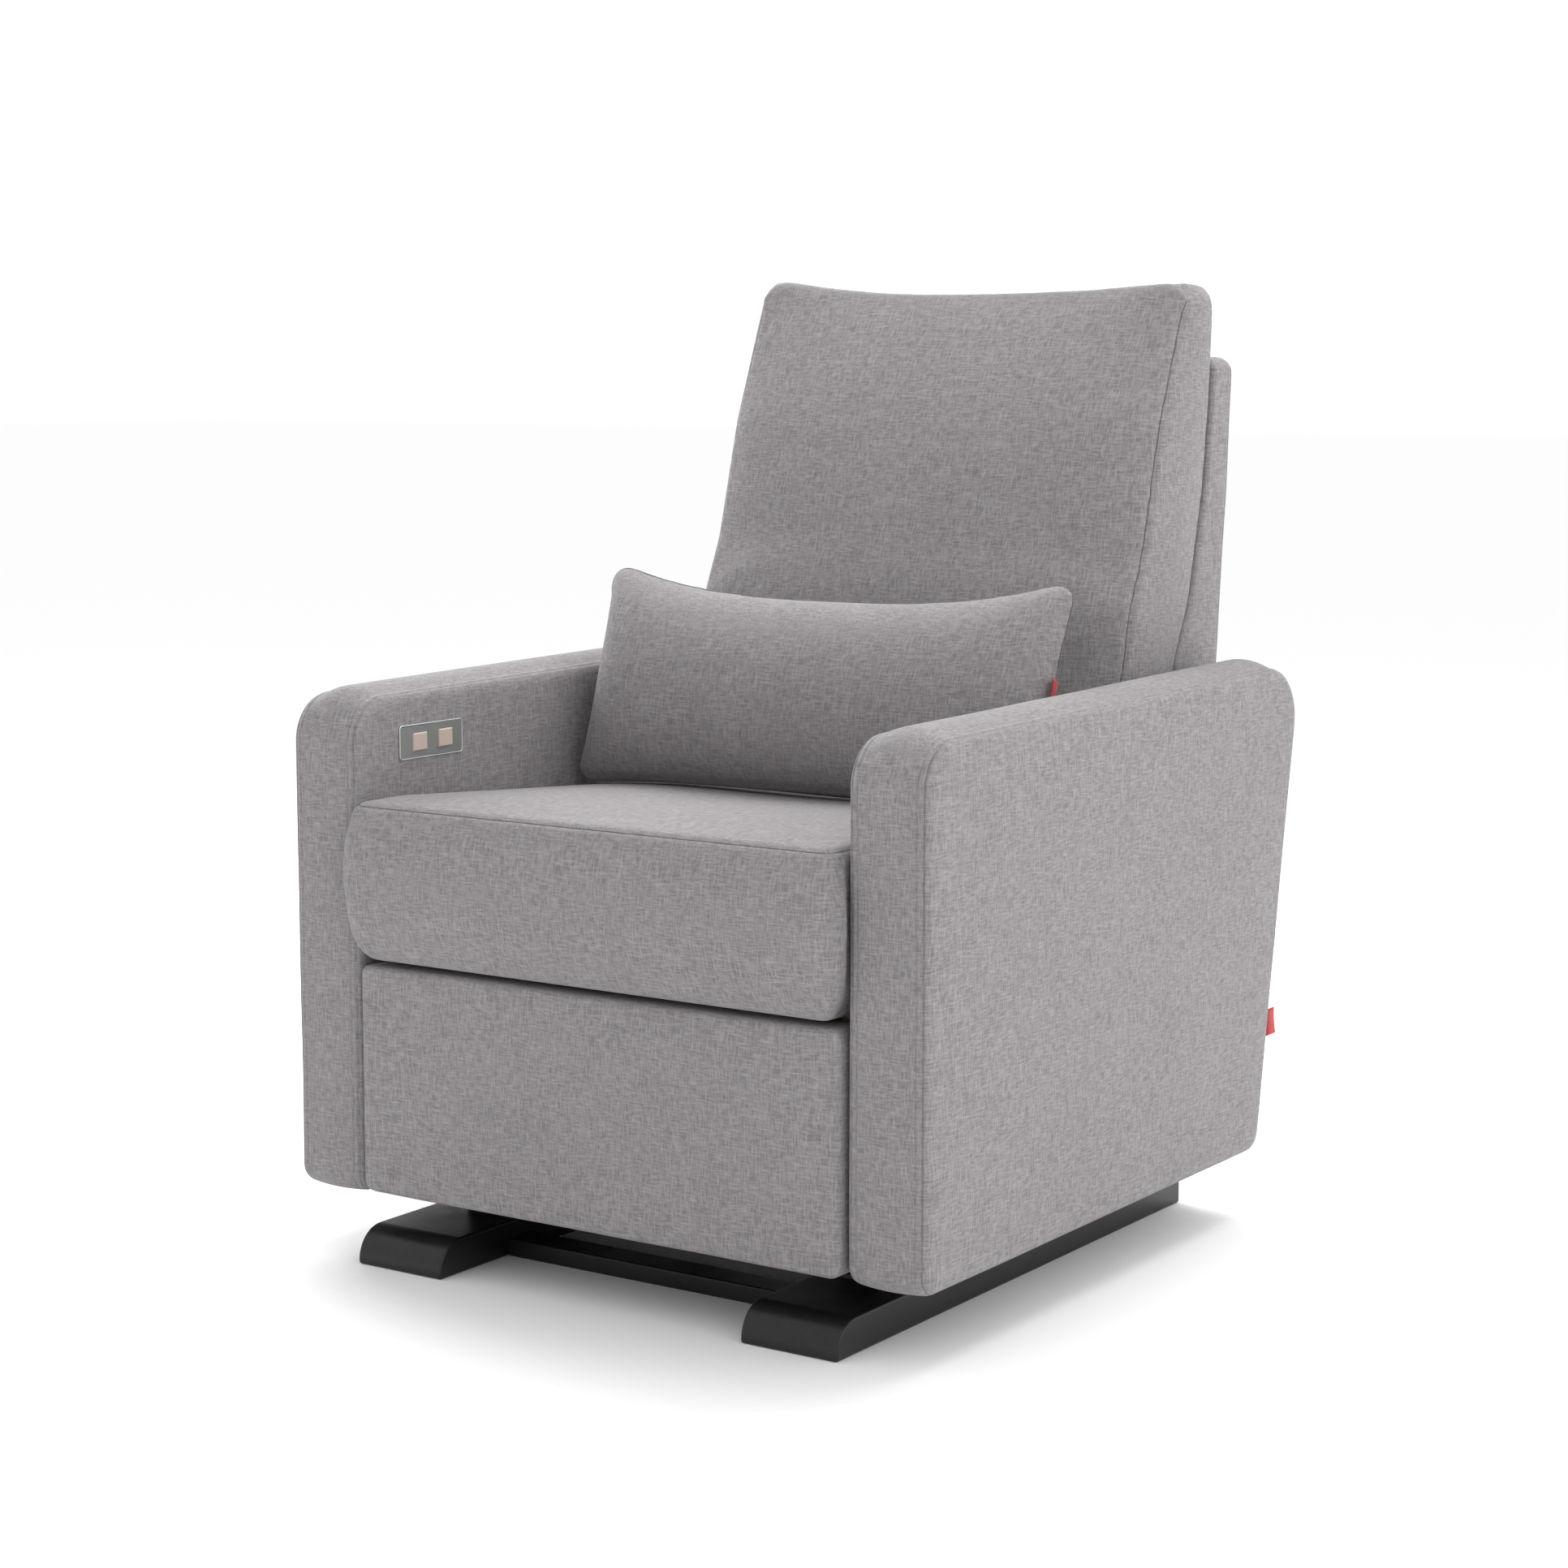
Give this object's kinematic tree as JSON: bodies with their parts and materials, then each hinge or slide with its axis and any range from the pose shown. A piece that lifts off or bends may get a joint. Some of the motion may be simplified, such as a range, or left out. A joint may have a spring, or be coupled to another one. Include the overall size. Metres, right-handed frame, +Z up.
{
  "type": "glider nursery chair",
  "caption": "Upholstered glider recliner with boxed arms, tall back, powered footrest, lumbar pillow and a runner base on a hanging-link glide.",
  "frame": {"origin": "middle of the overall footprint, on the floor under the runners", "axes": "+Z up, -Y towards the chair's front, +X towards the sitter's left"},
  "size_m": [0.79, 0.866, 1.0384],
  "materials": {
    "upholstery": "heathered warm grey woven cloth",
    "pillow_cloth": "heathered warm grey woven cloth",
    "base_paint": "solid hardwood, satin black lacquer",
    "mechanism_paint": "semi-matt black powder coat",
    "bright_steel": "zinc plated",
    "frame_wood": "sawn hardwood and plywood",
    "control_metal": "brushed, satin",
    "button_plastic": "rose-beige, satin",
    "dark_plastic": "matt black",
    "label_cloth": "plain red woven label",
    "webbing_cloth": "black woven elastic webbing",
    "dust_cloth": "black spun cloth"
  },
  "bodies": {
    "base": {"runner_left": "base_paint", "runner_right": "base_paint", "front_stretcher": "base_paint", "rear_stretcher": "base_paint", "base_brackets_left": "mechanism_paint", "base_brackets_right": "mechanism_paint", "glide_top_pins": "bright_steel"},
    "link_front_left": {"glide_link_front_left": "mechanism_paint"},
    "link_front_right": {"glide_link_front_right": "mechanism_paint"},
    "link_rear_left": {"glide_link_rear_left": "mechanism_paint"},
    "link_rear_right": {"glide_link_rear_right": "mechanism_paint"},
    "seat_frame": {"mechanism_plate_left": "mechanism_paint", "mechanism_plate_right": "mechanism_paint", "carriage_pins": "bright_steel", "cross_rail": "mechanism_paint", "rear_cross_tube": "mechanism_paint", "seat_side_rails": "frame_wood", "seat_front_rail": "frame_wood", "seat_rear_rail": "frame_wood", "seat_webbing": "webbing_cloth", "seat_cushion": "upholstery", "arm_frame_left": "frame_wood", "arm_frame_right": "frame_wood", "arm_outer_panel_left": "upholstery", "arm_outer_panel_right": "upholstery", "arm_inner_panel_left": "upholstery", "arm_inner_panel_right": "upholstery", "arm_band_left": "upholstery", "arm_band_right": "upholstery", "arm_mount_blocks": "frame_wood", "rear_skirt": "upholstery", "arm_tag": "label_cloth", "control_plate": "control_metal", "control_housing": "dark_plastic", "drive_motor": "dark_plastic", "drive_rail": "mechanism_paint", "control_box": "dark_plastic"},
    "button_open": {"button_open": "button_plastic"},
    "button_close": {"button_close": "button_plastic"},
    "drive_slider": {"drive_slider": "dark_plastic"},
    "footrest_arms": {"footrest_arm_left": "mechanism_paint", "footrest_arm_right": "mechanism_paint", "torque_tube": "mechanism_paint"},
    "follower_arms": {"follower_arms": "mechanism_paint"},
    "footrest_carriers": {"footrest_carrier_left": "mechanism_paint", "footrest_carrier_right": "mechanism_paint", "footrest_pins": "bright_steel"},
    "footrest_panel": {"footrest_board": "frame_wood", "footrest_pad": "upholstery", "footrest_hinges": "mechanism_paint"},
    "back": {"back_stiles": "frame_wood", "back_rails": "frame_wood", "back_webbing": "webbing_cloth", "outer_back_panel": "upholstery", "back_side_panels": "upholstery", "back_tail_flap": "dust_cloth", "back_hinges": "mechanism_paint", "back_cushion": "upholstery"},
    "lumbar_pillow": {"lumbar_pillow": "pillow_cloth", "pillow_tag": "label_cloth"}
  },
  "joints": [
    {"name": "link_front_left_swing", "type": "hinge", "parent": "base", "child": "link_front_left", "pos_m": [0, -0.251, 0.235], "axis": [1, 0, 0], "range_deg": [-18.1, 18.1]},
    {"name": "link_front_right_swing", "type": "hinge", "parent": "base", "child": "link_front_right", "pos_m": [0, -0.251, 0.235], "axis": [1, 0, 0], "range_deg": [-18.1, 18.1]},
    {"name": "link_rear_left_swing", "type": "hinge", "parent": "base", "child": "link_rear_left", "pos_m": [0, 0.149, 0.235], "axis": [1, 0, 0], "range_deg": [-18.1, 18.1]},
    {"name": "link_rear_right_swing", "type": "hinge", "parent": "base", "child": "link_rear_right", "pos_m": [0, 0.149, 0.235], "axis": [1, 0, 0], "range_deg": [-18.1, 18.1]},
    {"name": "glide", "type": "hinge", "parent": "link_front_left", "child": "seat_frame", "pos_m": [0, -0.251, 0.095], "axis": [1, 0, 0], "range_deg": [-18, 18]},
    {"name": "footrest_swing", "type": "hinge", "parent": "seat_frame", "child": "footrest_arms", "pos_m": [0, -0.281, 0.285], "axis": [-1, 0, 0], "range_deg": [0, 121.5]},
    {"name": "follower_swing", "type": "hinge", "parent": "seat_frame", "child": "follower_arms", "pos_m": [0, -0.226, 0.26], "axis": [-1, 0, 0], "range_deg": [0, 121.6]},
    {"name": "carrier_hinge", "type": "hinge", "parent": "footrest_arms", "child": "footrest_carriers", "pos_m": [0, -0.163, 0.123], "axis": [-1, 0, 0], "range_deg": [-121.6, 0]},
    {"name": "panel_hinge", "type": "hinge", "parent": "footrest_carriers", "child": "footrest_panel", "pos_m": [0, -0.341, 0.215], "axis": [-1, 0, 0], "range_deg": [0, 90.1]},
    {"name": "back_recline", "type": "hinge", "parent": "seat_frame", "child": "back", "pos_m": [0, 0.299, 0.318], "axis": [-1, 0, 0], "range_deg": [0, 27.05]},
    {"name": "pillow_lean", "type": "hinge", "parent": "seat_frame", "child": "lumbar_pillow", "pos_m": [0, 0.00514, 0.5403], "axis": [-1, 0, 0], "range_deg": [0, 20.05]},
    {"name": "drive_slide", "type": "slide", "parent": "seat_frame", "child": "drive_slider", "axis": [0, -1, 0], "range_m": [0, 0.1201]},
    {"name": "button_open_press", "type": "slide", "parent": "seat_frame", "child": "button_open", "axis": [-1, 0, 0], "range_m": [0, 0.0015], "stiffness_N_per_m": 600},
    {"name": "button_close_press", "type": "slide", "parent": "seat_frame", "child": "button_close", "axis": [-1, 0, 0], "range_m": [0, 0.0015], "stiffness_N_per_m": 600}
  ],
  "couplings": [
    {"joint": "link_front_left_swing", "follows": "glide", "ratio": -1},
    {"joint": "link_front_right_swing", "follows": "glide", "ratio": -1},
    {"joint": "link_rear_left_swing", "follows": "glide", "ratio": -1},
    {"joint": "link_rear_right_swing", "follows": "glide", "ratio": -1},
    {"joint": "follower_swing", "follows": "footrest_swing", "ratio": 1},
    {"joint": "carrier_hinge", "follows": "footrest_swing", "ratio": -1},
    {"joint": "panel_hinge", "follows": "footrest_swing", "ratio": 0.74074},
    {"joint": "back_recline", "follows": "footrest_swing", "ratio": 0.22222},
    {"joint": "pillow_lean", "follows": "footrest_swing", "ratio": 0.16461},
    {"joint": "drive_slide", "follows": "footrest_swing", "m_per_rad": 0.056588}
  ]
}
